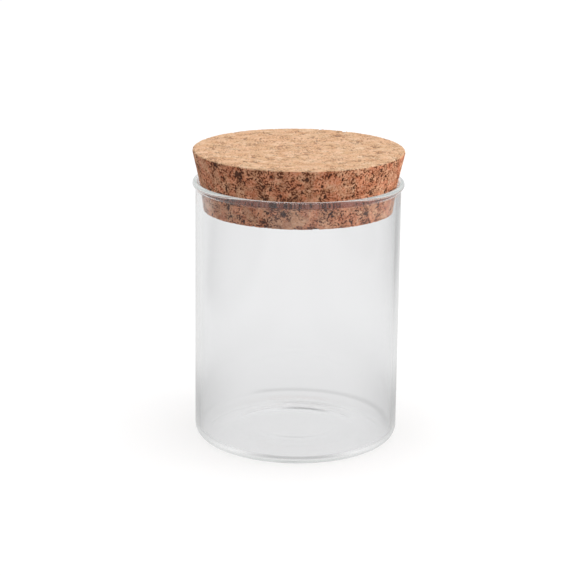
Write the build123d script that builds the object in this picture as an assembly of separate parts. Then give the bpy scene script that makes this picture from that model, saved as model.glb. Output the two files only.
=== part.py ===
from build123d import *
import math
import os

# Round glass jar closed by a tapered cork lid. Millimetres, +Z up.
# The origin is the centre of the foot ring, on the surface that the jar stands on.

# Jar body
body_diameter = 80.0        # outside of the straight wall
jar_height = 104.0          # foot ring to the top of the lip
wall = 2.0                  # thickness of the straight wall
floor_thickness = 2.2       # glass of the floor above the foot ring
crown_thickness = 2.5       # glass at the middle of the floor
heel_radius = 5.6           # outside round from the foot ring up into the wall
inner_heel_radius = 3.8     # inside round from the floor up into the wall
foot_width = 1.2            # ring that the jar stands on, inside the heel round
push_up = 2.1               # rise of the floor's middle above the foot ring
plateau_radius = 15.2       # level middle of the push-up, before it falls to the foot ring

# Lip: the wall turns outwards, thickens a little and ends in a melted, half-round edge
lip_depth = 3.3             # from the top of the lip down to the throat, where the turn begins
lip_overhang = 1.15         # outside of the lip beyond the outside of the wall
lip_bead = 0.3              # how much thicker the lip is than the wall

# Cork lid: its cone rests on the throat, its thick head stands proud as the grip
cork_taper = 13.0           # degrees between the side and the axis
cork_proud = 12.2           # head above the lip
cork_inset = 11.2           # plug below the top of the lip
seat_clearance = 0.2        # radial play between the cone and the throat
cork_top_round = 0.7        # worn round of the upper edge
cork_bottom_round = 0.4     # cut edge at the underside, barely broken

# Sizes that follow
body_radius = body_diameter / 2
bore_radius = body_radius - wall
foot_outer_radius = body_radius - heel_radius
foot_inner_radius = foot_outer_radius - foot_width
lip_thickness = wall + lip_bead
lip_round = lip_thickness / 2
lip_outer_radius = body_radius + lip_overhang
throat_height = jar_height - lip_depth
lip_shoulder_height = jar_height - lip_round
cork_seat_radius = bore_radius - seat_clearance
cork_slope = math.tan(math.radians(cork_taper))


def reverse_curve(start, end, along):
    """An S of two equal arcs from start to end, both ends heading along the given direction."""
    middle = ((start[0] + end[0]) / 2, (start[1] + end[1]) / 2)
    TangentArc(start, middle, tangent=along)
    TangentArc(end, middle, tangent=(-along[0], -along[1]))


def round_corner(section, corner, radius):
    """Rounds the corner of the section that lies at the given radius and height."""
    fillet(section.vertices().sort_by_distance(corner)[0], radius=radius)


def glass_jar():
    """The one-piece vessel, turned from its wall section."""
    outwards, upwards = (1, 0), (0, 1)
    crown_top = push_up + crown_thickness
    plateau_edge = (plateau_radius, push_up)
    floor_plateau_edge = (plateau_radius, crown_top)
    foot_inner = (foot_inner_radius, 0)
    floor_over_foot = (foot_inner_radius, floor_thickness)
    heel = (body_radius, 0)
    inner_heel = (bore_radius, floor_thickness)
    throat_outer = (body_radius, throat_height)
    throat_inner = (bore_radius, throat_height)
    lip_outer = (lip_outer_radius, lip_shoulder_height)
    lip_inner = (lip_outer_radius - lip_thickness, lip_shoulder_height)
    lip_top = (lip_outer_radius - lip_round, jar_height)
    with BuildPart() as jar:
        with BuildSketch(Plane.XZ) as section:
            with BuildLine():
                Line((0, push_up), plateau_edge)
                reverse_curve(plateau_edge, foot_inner, outwards)
                Polyline(foot_inner, heel, throat_outer)
                reverse_curve(throat_outer, lip_outer, upwards)
                ThreePointArc(lip_outer, lip_top, lip_inner)
                reverse_curve(throat_inner, lip_inner, upwards)
                Polyline(throat_inner, inner_heel, floor_over_foot)
                reverse_curve(floor_plateau_edge, floor_over_foot, outwards)
                Polyline(floor_plateau_edge, (0, crown_top), (0, push_up))
            make_face()
            round_corner(section, heel, heel_radius)
            round_corner(section, inner_heel, inner_heel_radius)
        revolve(axis=Axis.Z)
    return jar.part


def cork_lid():
    """The tapered cork, its cone set by the throat that it rests on."""
    top_height = jar_height + cork_proud
    bottom_height = jar_height - cork_inset
    top_radius = cork_seat_radius + cork_slope * (top_height - throat_height)
    bottom_radius = cork_seat_radius - cork_slope * (throat_height - bottom_height)
    top_edge = (top_radius, top_height)
    bottom_edge = (bottom_radius, bottom_height)
    with BuildPart() as cork:
        with BuildSketch(Plane.XZ) as section:
            with BuildLine():
                Polyline((0, bottom_height), bottom_edge, top_edge, (0, top_height), close=True)
            make_face()
            round_corner(section, top_edge, cork_top_round)
            round_corner(section, bottom_edge, cork_bottom_round)
        revolve(axis=Axis.Z)
    return cork.part


def main():
    os.makedirs("parts", exist_ok=True)
    pieces = {"glass_jar": glass_jar(), "cork_lid": cork_lid()}
    for node, piece in pieces.items():
        piece.label = node
        export_step(piece, f"parts/{node}.step")


main()
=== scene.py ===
import math
import bpy
from mathutils import Matrix, Vector


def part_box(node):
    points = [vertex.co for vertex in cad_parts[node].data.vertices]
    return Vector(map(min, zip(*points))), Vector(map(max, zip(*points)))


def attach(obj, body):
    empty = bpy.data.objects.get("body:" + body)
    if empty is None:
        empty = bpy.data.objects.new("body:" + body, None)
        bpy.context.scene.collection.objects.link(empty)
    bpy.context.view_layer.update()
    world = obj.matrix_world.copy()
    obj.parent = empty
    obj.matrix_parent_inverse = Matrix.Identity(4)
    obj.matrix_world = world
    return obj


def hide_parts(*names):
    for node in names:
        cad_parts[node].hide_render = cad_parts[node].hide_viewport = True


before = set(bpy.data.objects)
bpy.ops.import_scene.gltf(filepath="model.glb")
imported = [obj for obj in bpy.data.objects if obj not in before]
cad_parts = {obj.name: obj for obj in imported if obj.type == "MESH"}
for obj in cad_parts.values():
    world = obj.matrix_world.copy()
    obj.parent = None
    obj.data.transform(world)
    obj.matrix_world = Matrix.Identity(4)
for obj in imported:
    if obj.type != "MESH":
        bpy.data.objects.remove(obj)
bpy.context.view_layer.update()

mm = 0.001
jarLow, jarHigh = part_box("glass_jar")
lidLow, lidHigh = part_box("cork_lid")


# small helpers

def deselectAll():
    if bpy.context.object is not None and bpy.context.object.mode != "OBJECT":
        bpy.ops.object.mode_set(mode="OBJECT")
    bpy.ops.object.select_all(action="DESELECT")


def selectOnly(piece):
    deselectAll()
    piece.select_set(True)
    bpy.context.view_layer.objects.active = piece


def applyModifiers(piece):
    selectOnly(piece)
    for modifier in list(piece.modifiers):
        bpy.ops.object.modifier_apply(modifier=modifier.name)


def placeInMesh(piece):
    # the place goes into the mesh, so that the object ends at the origin, unturned and unscaled
    selectOnly(piece)
    bpy.ops.object.transform_apply(location=True, rotation=True, scale=True)


def giveMaterial(piece, material):
    piece.data.materials.clear()
    piece.data.materials.append(material)


def newMaterial(name):
    material = bpy.data.materials.new(name)
    material.use_nodes = True
    material.node_tree.nodes.clear()
    return material, material.node_tree


def mathNode(tree, operation, first, second=None, third=None):
    node = tree.nodes.new("ShaderNodeMath")
    node.operation = operation
    for socket, value in zip(node.inputs, (first, second, third)):
        if value is None:
            continue
        if isinstance(value, (int, float)):
            socket.default_value = value
        else:
            tree.links.new(value, socket)
    return node.outputs[0]


def times(tree, first, second):
    return mathNode(tree, "MULTIPLY", first, second)


def timesAdd(tree, first, second, third):
    return mathNode(tree, "MULTIPLY_ADD", first, second, third)


def mixColours(tree, share, low, high, blend="MIX"):
    node = tree.nodes.new("ShaderNodeMix")
    node.data_type = "RGBA"
    node.blend_type = blend
    for socket, value in ((node.inputs[0], share), (node.inputs[6], low), (node.inputs[7], high)):
        if isinstance(value, (int, float)):
            socket.default_value = value
        elif isinstance(value, tuple):
            socket.default_value = (*value, 1)
        else:
            tree.links.new(value, socket)
    return node.outputs[2]


def mixShaders(tree, share, low, high):
    mix = tree.nodes.new("ShaderNodeMixShader")
    for value, socket in zip((share, low.outputs[0], high.outputs[0]), mix.inputs):
        tree.links.new(value, socket)
    return mix.outputs[0]


def softStep(tree, value, low, high, fromValue=0.0, toValue=1.0):
    node = tree.nodes.new("ShaderNodeMapRange")
    node.interpolation_type = "SMOOTHSTEP"
    tree.links.new(value, node.inputs[0])
    for socket, level in zip(node.inputs[1:5], (low, high, fromValue, toValue)):
        socket.default_value = level
    return node.outputs[0]


def softBand(tree, value, low, lowFull, highFull, high):
    # 0 outside low and high, 1 between the two full levels
    return times(tree, softStep(tree, value, low, lowFull), softStep(tree, value, highFull, high, 1.0, 0.0))


def splitVector(tree, vector):
    node = tree.nodes.new("ShaderNodeSeparateXYZ")
    tree.links.new(vector, node.inputs[0])
    return node.outputs


def vectorNode(tree, operation, first, second=None, scale=None, outlet=0):
    node = tree.nodes.new("ShaderNodeVectorMath")
    node.operation = operation
    tree.links.new(first, node.inputs[0])
    if isinstance(second, tuple):
        node.inputs[1].default_value = second
    elif second is not None:
        tree.links.new(second, node.inputs[1])
    if isinstance(scale, float):
        node.inputs["Scale"].default_value = scale
    elif scale is not None:
        tree.links.new(scale, node.inputs["Scale"])
    return node.outputs[outlet]


# camera: the photograph's height, distance and lens, aimed a little below the middle of the jar

cameraPlace = {
    "distance": 787.7 * mm,
    "height": 276.9 * mm,
    "turn": -0.261,      # degrees to the right of the jar
    "tilt": 15.38,       # degrees down
    "roll": 0.673,       # degrees, the horizon falls to the right
    "lens": 129.66,
    "sensor": 36.0,
    "nearest": 10 * mm,
}


def addCamera(s):
    data = bpy.data.cameras.new("camera")
    data.lens = s["lens"]
    data.sensor_width = s["sensor"]
    data.sensor_fit = "HORIZONTAL"
    data.clip_start = s["nearest"]
    camera = bpy.data.objects.new("camera", data)
    bpy.context.collection.objects.link(camera)
    turned = Matrix.Rotation(math.radians(-s["turn"]), 4, "Z")
    tilted = Matrix.Rotation(math.radians(90 - s["tilt"]), 4, "X")
    rolled = Matrix.Rotation(math.radians(s["roll"]), 4, "Z")
    camera.matrix_world = Matrix.Translation((0, -s["distance"], s["height"])) @ turned @ tilted @ rolled
    bpy.context.scene.camera = camera


addCamera(cameraPlace)
bpy.context.scene.view_settings.view_transform = "Standard"
print("camera set")


# studio: pale sweep, a soft lamp overhead, another at the right and an even room

studio = {
    "floorSize": 12.0,
    "floorLevel": -0.05 * mm,
    "floorColour": (0.80, 0.80, 0.80),
    # the sweep seen straight, through the glass and mirrored in it
    # its lit share holds the shadow, and its glow makes up the rest
    "litShares": (0.64, 0.12, 0.32),
    "glows": (0.33, 0.77, 0.48),
    "farGlow": 0.24,           # keeps the sweep white where the lamps reach it less
    "farGlowReach": (100 * mm, 1300 * mm),
    "roomColour": (1.0, 1.0, 1.0),
    "roomLevel": 0.50,         # light from all round
    # a dark edge low in the room, straight behind and in front, by a direction's parts up and to the right
    "horizonDimming": 0.55,
    "horizonRise": (0.18, 0.25),
    "horizonAside": 0.02,
    "horizonWidth": (0.01, 0.06),
    "lampAim": 80 * mm,        # height of the point that both lamps face
    "overheadSize": 1.1,
    "overheadPlace": (0, -0.10, 1.5),
    "overheadPower": 12.2,
    "sideSize": 0.6,
    "sidePlace": (1.5, -0.1, 0.55),
    "sidePower": 16.0,
}

# painted shade: in and through the glass the sweep is darker in some zones: each has its dimming, and
# distances over which it fades
# along is to the right, or to both sides alike, behind is away from the camera, reach is from the middle

sweepZones = {
    "backRight": 0.35,
    "backRightAlong": (60 * mm, 210 * mm),
    "backRightBehind": (20 * mm, 260 * mm),
    "front": 0.18,
    "frontBehind": (-340 * mm, -120 * mm),
    "left": 0.50,
    "leftAlong": (-190 * mm, -260 * mm),
    "right": 0.25,
    "rightAlong": (190 * mm, 300 * mm),
    "sidesBehind": (80 * mm, 180 * mm),      # the left and right ones fade out here
    "aside": 0.065,
    "asideAlong": (35 * mm, 95 * mm),
    "beside": 0.26,                          # only close to the jar
    "besideAlong": (20 * mm, 60 * mm),
    "besideReach": (60 * mm, 130 * mm),
    "near": 0.09,
    "nearReach": (40 * mm, 200 * mm),
    "heelMiddle": 0.28,                      # painted shade under the near heel, darker in the middle
    "heelSides": -0.14,                      # and painted light at its sides
    "heelAlong": (8 * mm, 26 * mm),
    "heelReach": (34 * mm, 36.5 * mm, 37 * mm, 40 * mm),
    "heelBehind": (-20 * mm, 0.0),
    "backLine": 0.14,                        # thin line of shade that follows the heel at the back
    "backLineCentre": (0, 17 * mm, 0),
    "backLineRadius": 40 * mm,
    "backLineWidth": 4.5 * mm,
    "backLineAlong": (-24 * mm, -12 * mm),
    "backLineBehind": (0.0, 20 * mm),
}


def seenShare(tree):
    # 1 for what the camera sees straight, in a reflection or through glass
    path = tree.nodes.new("ShaderNodeLightPath")
    seen = mathNode(tree, "MAXIMUM", path.outputs["Is Camera Ray"], path.outputs["Is Glossy Ray"])
    return mathNode(tree, "MAXIMUM", seen, path.outputs["Is Transmission Ray"])


def seenLevel(tree, straight, through, mirrored):
    # a level for what the camera sees straight, through the glass and as a reflection
    # a ray through clear glass counts as glossy too, so only the difference is added for it
    path = tree.nodes.new("ShaderNodeLightPath")
    total = 0.0
    for kind, level in (
        ("Is Camera Ray", straight),
        ("Is Glossy Ray", mirrored),
        ("Is Transmission Ray", through - mirrored),
    ):
        total = timesAdd(tree, path.outputs[kind], level, total)
    return total


def dimmedInGlass(tree, dimming):
    # 1 less the dimming, and plain 1 for what the camera sees straight
    path = tree.nodes.new("ShaderNodeLightPath")
    inGlass = mathNode(tree, "SUBTRACT", 1.0, path.outputs["Is Camera Ray"])
    return mathNode(tree, "SUBTRACT", 1.0, times(tree, dimming, inGlass))


def openZones(tree, z, right, behind, reach):
    # the wide zones at the back right, in front, at both sides and round the jar
    aside = mathNode(tree, "ABSOLUTE", right)
    farRight = softStep(tree, right, *z["backRightAlong"])
    farBack = softStep(tree, behind, *z["backRightBehind"])
    dim = times(tree, times(tree, farRight, farBack), z["backRight"])
    dim = mathNode(tree, "ADD", dim, softStep(tree, behind, *z["frontBehind"], z["front"], 0.0))
    dim = mathNode(tree, "ADD", dim, softStep(tree, aside, *z["asideAlong"], 0.0, z["aside"]))
    beside = softStep(tree, reach, *z["besideReach"], z["beside"], 0.0)
    dim = timesAdd(tree, softStep(tree, aside, *z["besideAlong"]), beside, dim)
    dim = mathNode(tree, "ADD", dim, softStep(tree, reach, *z["nearReach"], z["near"], 0.0))
    sides = softStep(tree, right, *z["leftAlong"], 0.0, z["left"])
    sides = mathNode(tree, "ADD", sides, softStep(tree, right, *z["rightAlong"], 0.0, z["right"]))
    return timesAdd(tree, sides, softStep(tree, behind, *z["sidesBehind"], 1.0, 0.0), dim)


def heelZone(tree, z, right, behind, reach):
    ring = softBand(tree, reach, *z["heelReach"])
    ring = times(tree, ring, softStep(tree, behind, *z["heelBehind"], 1.0, 0.0))
    aside = mathNode(tree, "ABSOLUTE", right)
    return times(tree, ring, softStep(tree, aside, *z["heelAlong"], z["heelMiddle"], z["heelSides"]))


def backLine(tree, z, place, right, behind):
    fromLine = vectorNode(tree, "DISTANCE", place, z["backLineCentre"], outlet="Value")
    fromLine = mathNode(tree, "ABSOLUTE", mathNode(tree, "SUBTRACT", fromLine, z["backLineRadius"]))
    line = softStep(tree, fromLine, 0.0, z["backLineWidth"], z["backLine"], 0.0)
    line = times(tree, line, softStep(tree, right, *z["backLineAlong"]))
    return times(tree, line, softStep(tree, behind, *z["backLineBehind"]))


def zoneDimming(tree, z, place, reach):
    right, behind, _ = splitVector(tree, place)
    dim = openZones(tree, z, right, behind, reach)
    dim = mathNode(tree, "ADD", dim, heelZone(tree, z, right, behind, reach))
    return mathNode(tree, "ADD", dim, backLine(tree, z, place, right, behind))


def addRoom(s):
    world = bpy.data.worlds.new("room")
    bpy.context.scene.world = world
    world.use_nodes = True
    tree = world.node_tree
    tree.nodes.clear()
    lit = tree.nodes.new("ShaderNodeBackground")
    lit.inputs["Color"].default_value = (*s["roomColour"], 1)
    lit.inputs["Strength"].default_value = s["roomLevel"]
    white = tree.nodes.new("ShaderNodeBackground")
    white.inputs["Color"].default_value = (1, 1, 1, 1)
    level = seenLevel(tree, *(lit + glow for lit, glow in zip(s["litShares"], s["glows"])))
    right, _, upward = splitVector(tree, tree.nodes.new("ShaderNodeTexCoord").outputs["Generated"])
    aside = mathNode(tree, "ABSOLUTE", mathNode(tree, "SUBTRACT", right, s["horizonAside"]))
    horizon = softStep(tree, upward, *s["horizonRise"], s["horizonDimming"], 0.0)
    horizon = times(tree, horizon, softStep(tree, aside, *s["horizonWidth"], 1.0, 0.0))
    tree.links.new(times(tree, level, dimmedInGlass(tree, horizon)), white.inputs["Strength"])
    out = tree.nodes.new("ShaderNodeOutputWorld")
    tree.links.new(mixShaders(tree, seenShare(tree), lit, white), out.inputs["Surface"])


def whiteSweep(s, zones):
    # plain pale paper for the light, and for the eye a share of it that holds the shadow, and a glow
    material, tree = newMaterial("whiteSweep")
    paper = tree.nodes.new("ShaderNodeBsdfDiffuse")
    paper.inputs["Color"].default_value = (*s["floorColour"], 1)
    place = tree.nodes.new("ShaderNodeTexCoord").outputs["Object"]
    reach = vectorNode(tree, "LENGTH", place, outlet="Value")
    # painted shade of the zones, for what is seen in or through the glass only
    dimmed = dimmedInGlass(tree, zoneDimming(tree, zones, place, reach))
    shadowed = tree.nodes.new("ShaderNodeBsdfDiffuse")
    tree.links.new(times(tree, seenLevel(tree, *s["litShares"]), dimmed), shadowed.inputs["Color"])
    glow = tree.nodes.new("ShaderNodeEmission")
    glow.inputs["Color"].default_value = (1, 1, 1, 1)
    farGlow = softStep(tree, reach, *s["farGlowReach"], 0.0, s["farGlow"])
    glowing = mathNode(tree, "ADD", seenLevel(tree, *s["glows"]), farGlow)
    tree.links.new(times(tree, glowing, dimmed), glow.inputs["Strength"])
    both = tree.nodes.new("ShaderNodeAddShader")
    tree.links.new(shadowed.outputs[0], both.inputs[0])
    tree.links.new(glow.outputs[0], both.inputs[1])
    out = tree.nodes.new("ShaderNodeOutputMaterial")
    tree.links.new(mixShaders(tree, seenShare(tree), paper, both), out.inputs["Surface"])
    return material


def addLamp(name, size, place, power, aimHeight):
    data = bpy.data.lights.new(name, "AREA")
    data.shape = "SQUARE"
    data.size = size
    data.energy = power
    lamp = bpy.data.objects.new(name, data)
    lamp.location = place
    aim = Vector((0, 0, aimHeight)) - lamp.location
    lamp.rotation_euler = aim.to_track_quat("-Z", "Y").to_euler()
    bpy.context.collection.objects.link(lamp)
    return lamp


def addStudio(s, zones):
    addRoom(s)
    deselectAll()
    bpy.ops.mesh.primitive_plane_add(size=s["floorSize"], location=(0, 0, s["floorLevel"]))
    floor = bpy.context.object
    floor.name = "floor"
    giveMaterial(floor, whiteSweep(s, zones))
    addLamp("overhead", s["overheadSize"], s["overheadPlace"], s["overheadPower"], s["lampAim"])
    side = addLamp("fromRight", s["sideSize"], s["sidePlace"], s["sidePower"], s["lampAim"])
    side.visible_glossy = side.visible_transmission = False


addStudio(studio, sweepZones)
print("studio set")


# glass jar: one section turned round the axis

jarShape = {
    "bodyRadius": 40.0 * mm,
    "wall": 2.0 * mm,
    "height": jarHigh[2] - jarLow[2],
    "floorThickness": 2.2 * mm,
    "crownThickness": 2.5 * mm,    # the floor's middle
    "heelRadius": 5.6 * mm,
    "innerHeelRadius": 3.8 * mm,
    "footRadius": 33.2 * mm,       # inner edge of the ring that it stands on
    "pushUp": 2.1 * mm,
    "plateauRadius": 15.2 * mm,    # flat middle of the pushed-up floor
    "lipDepth": 3.3 * mm,
    "lipOverhang": 1.15 * mm,
    "lipThickness": 2.3 * mm,
    "turns": 256,                  # steps round the axis
    "arcSteps": 10,
    "wallSteps": 40,
    "footSteps": 3,
    "innerFootSteps": 2,
    "weld": 0.002 * mm,
}


def straight(low, high, steps):
    return [
        (low[0] + (high[0] - low[0]) * i / steps, low[1] + (high[1] - low[1]) * i / steps)
        for i in range(steps + 1)
    ]


def arcPoints(centre, radius, fromAngle, toAngle, steps):
    points = []
    for i in range(steps + 1):
        angle = math.radians(fromAngle + (toAngle - fromAngle) * i / steps)
        points.append((centre[0] + radius * math.cos(angle), centre[1] + radius * math.sin(angle)))
    return points


def reverseCurve(low, high, steps):
    # two equal arcs that start and end upright
    shift, rise = high[0] - low[0], high[1] - low[1]
    radius = (shift**2 + rise**2) / (4 * abs(shift))
    turn = math.degrees(2 * math.atan2(abs(shift), rise))
    if shift > 0:
        first = arcPoints((low[0] + radius, low[1]), radius, 180, 180 - turn, steps)
        second = arcPoints((high[0] - radius, high[1]), radius, -turn, 0, steps)
    else:
        first = arcPoints((low[0] - radius, low[1]), radius, 0, turn, steps)
        second = arcPoints((high[0] + radius, high[1]), radius, 180 + turn, 180, steps)
    return first + second[1:]


def bellPoints(plateauRadius, plateauHeight, rimRadius, rimHeight, steps):
    # flat middle, then an S down to its rim, both ends level
    plateau = straight((0.0, plateauHeight), (plateauRadius, plateauHeight), steps)
    flank = reverseCurve((plateauHeight, plateauRadius), (rimHeight, rimRadius), steps)
    return plateau + [(radius, height) for height, radius in flank][1:]


def jarSection(s):
    body, wall, height, steps = s["bodyRadius"], s["wall"], s["height"], s["arcSteps"]
    bore = body - wall
    lipRound = s["lipThickness"] / 2
    lipOuter = body + s["lipOverhang"]
    lipInner = lipOuter - s["lipThickness"]
    throat = height - s["lipDepth"]
    shoulder = height - lipRound
    heel, innerHeel, floor = s["heelRadius"], s["innerHeelRadius"], s["floorThickness"]
    crown = s["pushUp"] + s["crownThickness"]
    innerFloor = bellPoints(s["plateauRadius"], crown, s["footRadius"], floor, 2 * steps)
    innerFloor += straight((s["footRadius"], floor), (bore - innerHeel, floor), s["innerFootSteps"])[1:]
    points = bellPoints(s["plateauRadius"], s["pushUp"], s["footRadius"], 0.0, 2 * steps)
    points += straight((s["footRadius"], 0.0), (body - heel, 0.0), s["footSteps"])[1:]
    points += arcPoints((body - heel, heel), heel, -90, 0, 2 * steps)[1:]
    points += straight((body, heel), (body, throat), s["wallSteps"])[1:]
    points += reverseCurve((body, throat), (lipOuter, shoulder), steps)[1:]
    points += arcPoints((lipOuter - lipRound, shoulder), lipRound, 0, 180, 2 * steps)[1:]
    points += list(reversed(reverseCurve((bore, throat), (lipInner, shoulder), steps)))[1:]
    points += straight((bore, throat), (bore, floor + innerHeel), s["wallSteps"])[1:]
    points += arcPoints((bore - innerHeel, floor + innerHeel), innerHeel, 0, -90, 2 * steps)[1:]
    points += list(reversed(innerFloor))[1:]
    return points


def turnedPiece(name, section, turns, weld):
    # a plane merged to one point, drawn along the section and spun round the axis
    deselectAll()
    bpy.ops.mesh.primitive_plane_add(size=mm, location=(0, 0, 0))
    piece = bpy.context.object
    piece.name = name
    bpy.ops.object.mode_set(mode="EDIT")
    bpy.ops.mesh.select_all(action="SELECT")
    bpy.ops.mesh.merge(type="CENTER")
    bpy.ops.transform.translate(value=(section[0][0], 0, section[0][1]))
    for here, there in zip(section, section[1:]):
        step = (there[0] - here[0], 0, there[1] - here[1])
        bpy.ops.mesh.extrude_vertices_move(TRANSFORM_OT_translate={"value": step})
    bpy.ops.mesh.select_all(action="SELECT")
    bpy.ops.mesh.spin(steps=turns, angle=math.tau, center=(0, 0, 0), axis=(0, 0, 1))
    bpy.ops.mesh.select_all(action="SELECT")
    bpy.ops.mesh.remove_doubles(threshold=weld)
    bpy.ops.mesh.normals_make_consistent(inside=False)
    bpy.ops.object.mode_set(mode="OBJECT")
    bpy.ops.object.shade_smooth()
    return piece


glassFinish = {
    "tint": (0.97, 0.97, 0.975),
    "lampTint": (0.98, 0.98, 0.98),    # for the lamps' light and what the floor and cork throw back
    "ior": 1.47,
    "absorbColour": (0.60, 0.74, 0.66),
    "absorbDensity": 5.0,
    "mostMirrored": 3.5,               # light caught inside the wall leaves straight after this many turns
}


def clearGlass(s):
    material, tree = newMaterial("clearGlass")
    glass = tree.nodes.new("ShaderNodeBsdfPrincipled")
    glass.inputs["Base Color"].default_value = (*s["tint"], 1)
    glass.inputs["Roughness"].default_value = 0.0
    glass.inputs["IOR"].default_value = s["ior"]
    glass.inputs["Transmission Weight"].default_value = 1.0
    through = tree.nodes.new("ShaderNodeBsdfTransparent")
    through.inputs["Color"].default_value = (*s["lampTint"], 1)
    path = tree.nodes.new("ShaderNodeLightPath")
    caught = mathNode(tree, "GREATER_THAN", path.outputs["Glossy Depth"], s["mostMirrored"])
    unseen = mathNode(tree, "MAXIMUM", path.outputs["Is Shadow Ray"], path.outputs["Is Diffuse Ray"])
    inside = tree.nodes.new("ShaderNodeVolumeAbsorption")
    inside.inputs["Color"].default_value = (*s["absorbColour"], 1)
    inside.inputs["Density"].default_value = s["absorbDensity"]
    out = tree.nodes.new("ShaderNodeOutputMaterial")
    surface = mixShaders(tree, mathNode(tree, "MAXIMUM", unseen, caught), glass, through)
    tree.links.new(surface, out.inputs["Surface"])
    tree.links.new(inside.outputs[0], out.inputs["Volume"])
    return material


jar = turnedPiece("jarGlass", jarSection(jarShape), jarShape["turns"], jarShape["weld"])
giveMaterial(jar, clearGlass(glassFinish))
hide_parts("glass_jar")
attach(jar, "jar")
print("jar made", len(jar.data.polygons), "faces")


# cork lid: a tapered plug, its surface broken by the seams and pits between pressed granules

corkShape = {
    "low": lidLow[2],
    "high": lidHigh[2],
    "topRadius": 41.38 * mm,
    "seatRadius": 37.8 * mm,
    "seatHeight": jarHigh[2] - jarShape["lipDepth"],
    "bottomRadius": 36.8 * mm,
    "topRound": 0.7 * mm,
    "bottomRound": 0.4 * mm,
    "roundSteps": 3,
    "sides": 192,
    "facingDown": -0.9,            # upward part of a face's normal
    "levelPlay": 0.01 * mm,        # for edges picked by their height
    "voxel": 0.45 * mm,
    "seamDepth": 0.08 * mm,
    "pitDepth": 0.42 * mm,
    "speckDepth": 0.30 * mm,
    "chipDepth": 0.07 * mm,
}

# a noise has its waves per metre and its detail, cells have their number per metre
# levels are the values of the noise between which a mark fades

corkGrain = {
    "warpNoise": (260.0, 2.0),
    "warpReach": 1.2 * mm,
    "granuleCells": 380.0,
    "chipCells": 1050.0,
    "seamWidths": (0.01, 0.09),
    "brokenNoise": (442.0, 1.0),       # where it is low the seams are closed
    "brokenLevels": (0.46, 0.58),
    "speckNoise": (1500.0, 1.5),
    "speckLevels": (0.415, 0.440),
    "lightLevels": (0.56, 0.66),
    "pitNoise": (520.0, 1.5),
    "pitLevels": (0.325, 0.360),
    "crowdNoise": (200.0, 1.0),
    "crowdReach": 0.42,
    "fineNoise": (3200.0, 2.0),
    "hueNoise": (210.0, 2.0),
}

noiseMiddle = (0.5, 0.5, 0.5)


def noise(tree, place, waves, detail, outlet=0):
    node = tree.nodes.new("ShaderNodeTexNoise")
    tree.links.new(place, node.inputs["Vector"])
    node.inputs["Scale"].default_value = waves
    node.inputs["Detail"].default_value = detail
    return node.outputs[outlet]


def cells(tree, place, scale, feature="F1"):
    node = tree.nodes.new("ShaderNodeTexVoronoi")
    node.feature = feature
    tree.links.new(place, node.inputs["Vector"])
    node.inputs["Scale"].default_value = scale
    return node.outputs


def corkPattern(tree, place, g):
    # the same granules, seams, pits and specks for the mesh and for its colour
    drift = vectorNode(tree, "SUBTRACT", noise(tree, place, *g["warpNoise"], outlet=1), noiseMiddle)
    warped = vectorNode(tree, "ADD", place, vectorNode(tree, "SCALE", drift, scale=g["warpReach"]))
    tone = splitVector(tree, cells(tree, warped, g["granuleCells"])["Color"])[0]
    chip = splitVector(tree, cells(tree, warped, g["chipCells"])["Color"])[0]
    edge = cells(tree, warped, g["granuleCells"], "DISTANCE_TO_EDGE")["Distance"]
    broken = softStep(tree, noise(tree, place, *g["brokenNoise"]), *g["brokenLevels"])
    seam = times(tree, softStep(tree, edge, *g["seamWidths"], 1.0, 0.0), broken)
    # pits and specks gather where the coarse noise is low
    crowd = timesAdd(tree, noise(tree, place, *g["crowdNoise"]), g["crowdReach"], -g["crowdReach"] / 2)
    pitField = mathNode(tree, "ADD", noise(tree, place, *g["pitNoise"]), crowd)
    speckField = mathNode(tree, "ADD", noise(tree, warped, *g["speckNoise"]), crowd)
    return {
        "tone": tone,
        "chip": chip,
        "seam": seam,
        "pit": softStep(tree, pitField, *g["pitLevels"], 1.0, 0.0),
        "speck": softStep(tree, speckField, *g["speckLevels"], 1.0, 0.0),
        "light": softStep(tree, speckField, *g["lightLevels"]),
        "fine": noise(tree, place, *g["fineNoise"]),
        "hue": noise(tree, place, *g["hueNoise"]),
    }


def carveCork(piece, s, grain):
    # geometry nodes push the surface in along its normal by the pattern, and keep the place before it
    tree = bpy.data.node_groups.new("carveCork", "GeometryNodeTree")
    tree.interface.new_socket("Mesh", in_out="INPUT", socket_type="NodeSocketGeometry")
    tree.interface.new_socket("Mesh", in_out="OUTPUT", socket_type="NodeSocketGeometry")
    start = tree.nodes.new("NodeGroupInput")
    end = tree.nodes.new("NodeGroupOutput")
    place = tree.nodes.new("GeometryNodeInputPosition")
    normal = tree.nodes.new("GeometryNodeInputNormal")
    pattern = corkPattern(tree, place.outputs[0], grain)
    depth = times(tree, pattern["seam"], s["seamDepth"])
    for mark, deep in (("pit", s["pitDepth"]), ("speck", s["speckDepth"])):
        depth = mathNode(tree, "MAXIMUM", depth, times(tree, pattern[mark], deep))
    depth = mathNode(tree, "ADD", depth, times(tree, pattern["chip"], s["chipDepth"]))
    push = vectorNode(tree, "SCALE", normal.outputs[0], scale=times(tree, depth, -1.0))
    keep = tree.nodes.new("GeometryNodeStoreNamedAttribute")
    keep.data_type = "FLOAT_VECTOR"
    keep.domain = "POINT"
    keep.inputs["Name"].default_value = "uncarved"
    tree.links.new(place.outputs[0], keep.inputs["Value"])
    move = tree.nodes.new("GeometryNodeSetPosition")
    tree.links.new(start.outputs[0], keep.inputs["Geometry"])
    tree.links.new(keep.outputs["Geometry"], move.inputs["Geometry"])
    tree.links.new(push, move.inputs["Offset"])
    tree.links.new(move.outputs["Geometry"], end.inputs[0])
    modifier = piece.modifiers.new("carve", "NODES")
    modifier.node_group = tree
    applyModifiers(piece)


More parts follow.
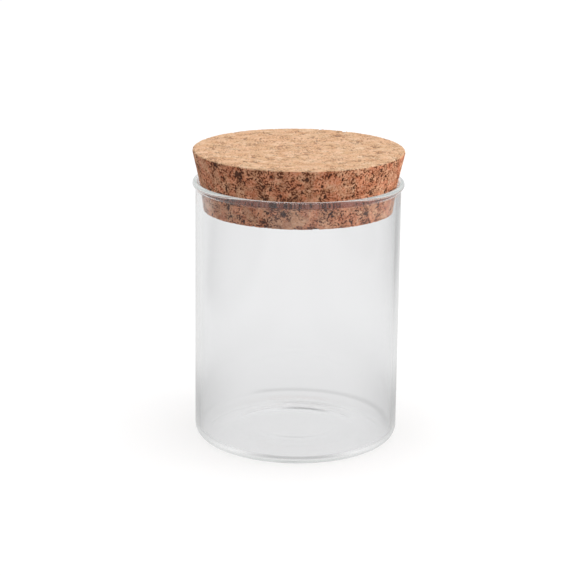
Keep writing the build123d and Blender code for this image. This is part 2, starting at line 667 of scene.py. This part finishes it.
def selectRim(piece, level, play):
    # the edges that lie at one height
    deselectAll()
    bpy.context.view_layer.objects.active = piece
    bpy.ops.object.mode_set(mode="EDIT")
    bpy.ops.mesh.select_all(action="DESELECT")
    bpy.ops.object.mode_set(mode="OBJECT")
    for edge in piece.data.edges:
        heights = [piece.data.vertices[i].co.z for i in edge.vertices]
        edge.select = all(abs(height - level) < play for height in heights)
    bpy.ops.object.mode_set(mode="EDIT")
    bpy.ops.mesh.select_mode(type="EDGE")


def corkPlug(s, grain):
    deselectAll()
    bpy.ops.mesh.primitive_cone_add(
        vertices=s["sides"],
        radius1=s["seatRadius"],
        radius2=s["topRadius"],
        depth=s["high"] - s["seatHeight"],
        end_fill_type="NGON",
        location=(0, 0, (s["high"] + s["seatHeight"]) / 2),
    )
    piece = bpy.context.object
    piece.name = "corkStopper"
    placeInMesh(piece)
    # below the seat the plug narrows less than the head
    bpy.ops.object.mode_set(mode="EDIT")
    bpy.ops.mesh.select_mode(type="FACE")
    bpy.ops.mesh.select_all(action="DESELECT")
    bpy.ops.object.mode_set(mode="OBJECT")
    for face in piece.data.polygons:
        face.select = face.normal.z < s["facingDown"]
    bpy.ops.object.mode_set(mode="EDIT")
    down = (0, 0, s["low"] - s["seatHeight"])
    bpy.ops.mesh.extrude_region_move(TRANSFORM_OT_translate={"value": down})
    narrower = s["bottomRadius"] / s["seatRadius"]
    bpy.ops.transform.resize(value=(narrower, narrower, 1), center_override=(0, 0, s["low"]))
    for level, width in ((s["high"], s["topRound"]), (s["low"], s["bottomRound"])):
        selectRim(piece, level, s["levelPlay"])
        bpy.ops.mesh.bevel(offset=width, segments=s["roundSteps"], profile=0.5)
    bpy.ops.object.mode_set(mode="OBJECT")
    even = piece.modifiers.new("evenMesh", "REMESH")
    even.mode = "VOXEL"
    even.voxel_size = s["voxel"]
    applyModifiers(piece)
    carveCork(piece, s, grain)
    selectOnly(piece)
    bpy.ops.object.shade_smooth()
    return piece


corkFinish = {
    # from the darkest granule to the palest
    "topTones": {
        0.0: (0.50, 0.27, 0.13),
        0.12: (0.60, 0.36, 0.20),
        0.5: (0.68, 0.43, 0.26),
        1.0: (0.80, 0.58, 0.40),
    },
    "sideTones": {
        0.0: (0.34, 0.13, 0.057),
        0.3: (0.46, 0.195, 0.10),
        0.6: (0.55, 0.265, 0.143),
        1.0: (0.70, 0.40, 0.245),
    },
    "toneShares": (0.55, 0.20, 0.25),    # of granules, chips and fine grain
    "topEdge": (0.7 * mm, 0.2 * mm),     # the side's colour gives way to the top's between these depths
    "redTint": (1.06, 0.84, 0.78),
    "redLevels": (0.42, 0.58),
    "topRed": 0.25,                      # of the side's
    # how strongly each mark is painted, and its colour; the speck and pit colours are the cork's dark
    # matter together with painted shade in the dents carved there
    "marks": {
        "light": (0.22, (0.86, 0.60, 0.45)),
        "seam": (0.40, (0.20, 0.07, 0.03)),
        "speck": (1.0, (0.12, 0.034, 0.014)),
        "pit": (0.92, (0.06, 0.018, 0.009)),
    },
    "topMarks": 0.45,                    # the sanded top shows its seams and pits less
    # painted shade: a dark ring where the lip meets the cork and no light gets in, from the top of the lip
    "paintedShadeTint": (0.50, 0.36, 0.40),
    "paintedShadeBand": (-2.9 * mm, -2.2 * mm, -1.3 * mm, -0.6 * mm),
    "bumpHeight": 0.25 * mm,
    "bumpStrength": 0.5,
    "speckBump": 1.5,                    # of a chip's
    "roughness": 0.8,
    "specular": 0.3,
}


def toneRamp(tree, value, stops):
    node = tree.nodes.new("ShaderNodeValToRGB")
    ramp = node.color_ramp
    while len(ramp.elements) < len(stops):
        ramp.elements.new(0.5)
    for element, (position, colour) in zip(ramp.elements, stops.items()):
        element.position = position
        element.color = (*colour, 1)
    tree.links.new(value, node.inputs[0])
    return node.outputs[0]


def corkColour(tree, s, pattern, height, topHeight):
    onTop = softStep(tree, height, *(topHeight - depth for depth in s["topEdge"]))
    granules, chips, fine = s["toneShares"]
    tone = timesAdd(tree, pattern["tone"], granules, times(tree, pattern["chip"], chips))
    tone = timesAdd(tree, pattern["fine"], fine, tone)
    side = toneRamp(tree, tone, s["sideTones"])
    colour = mixColours(tree, onTop, side, toneRamp(tree, tone, s["topTones"]))
    reddened = mixColours(tree, 1.0, colour, s["redTint"], "MULTIPLY")
    red = softStep(tree, pattern["hue"], *s["redLevels"])
    red = times(tree, red, softStep(tree, onTop, 0.0, 1.0, 1.0, s["topRed"]))
    colour = mixColours(tree, red, colour, reddened)
    shown = softStep(tree, onTop, 0.0, 1.0, 1.0, s["topMarks"])
    # the specks and pits also carry painted shade into their carved dents
    for mark, (strength, paint) in s["marks"].items():
        share = times(tree, times(tree, pattern[mark], shown), strength)
        colour = mixColours(tree, share, colour, paint)
    # painted shade in the ring where the cork sits under the lip
    paintedShade = softBand(tree, height, *(jarHigh[2] + level for level in s["paintedShadeBand"]))
    return mixColours(tree, paintedShade, colour, mixColours(tree, 1.0, colour, s["paintedShadeTint"], "MULTIPLY"))


def pressedCork(s, grain, topHeight):
    material, tree = newMaterial("pressedCork")
    place = tree.nodes.new("ShaderNodeAttribute")
    place.attribute_name = "uncarved"
    pattern = corkPattern(tree, place.outputs["Vector"], grain)
    height = splitVector(tree, place.outputs["Vector"])[2]
    relief = mathNode(tree, "SUBTRACT", pattern["chip"], times(tree, pattern["speck"], s["speckBump"]))
    bump = tree.nodes.new("ShaderNodeBump")
    bump.inputs["Distance"].default_value = s["bumpHeight"]
    bump.inputs["Strength"].default_value = s["bumpStrength"]
    tree.links.new(relief, bump.inputs["Height"])
    shader = tree.nodes.new("ShaderNodeBsdfPrincipled")
    tree.links.new(corkColour(tree, s, pattern, height, topHeight), shader.inputs["Base Color"])
    tree.links.new(bump.outputs[0], shader.inputs["Normal"])
    shader.inputs["Roughness"].default_value = s["roughness"]
    shader.inputs["Specular IOR Level"].default_value = s["specular"]
    out = tree.nodes.new("ShaderNodeOutputMaterial")
    tree.links.new(shader.outputs[0], out.inputs["Surface"])
    return material


cork = corkPlug(corkShape, corkGrain)
giveMaterial(cork, pressedCork(corkFinish, corkGrain, corkShape["high"]))
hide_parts("cork_lid")
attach(cork, "lid")
print("cork made", len(cork.data.polygons), "faces")
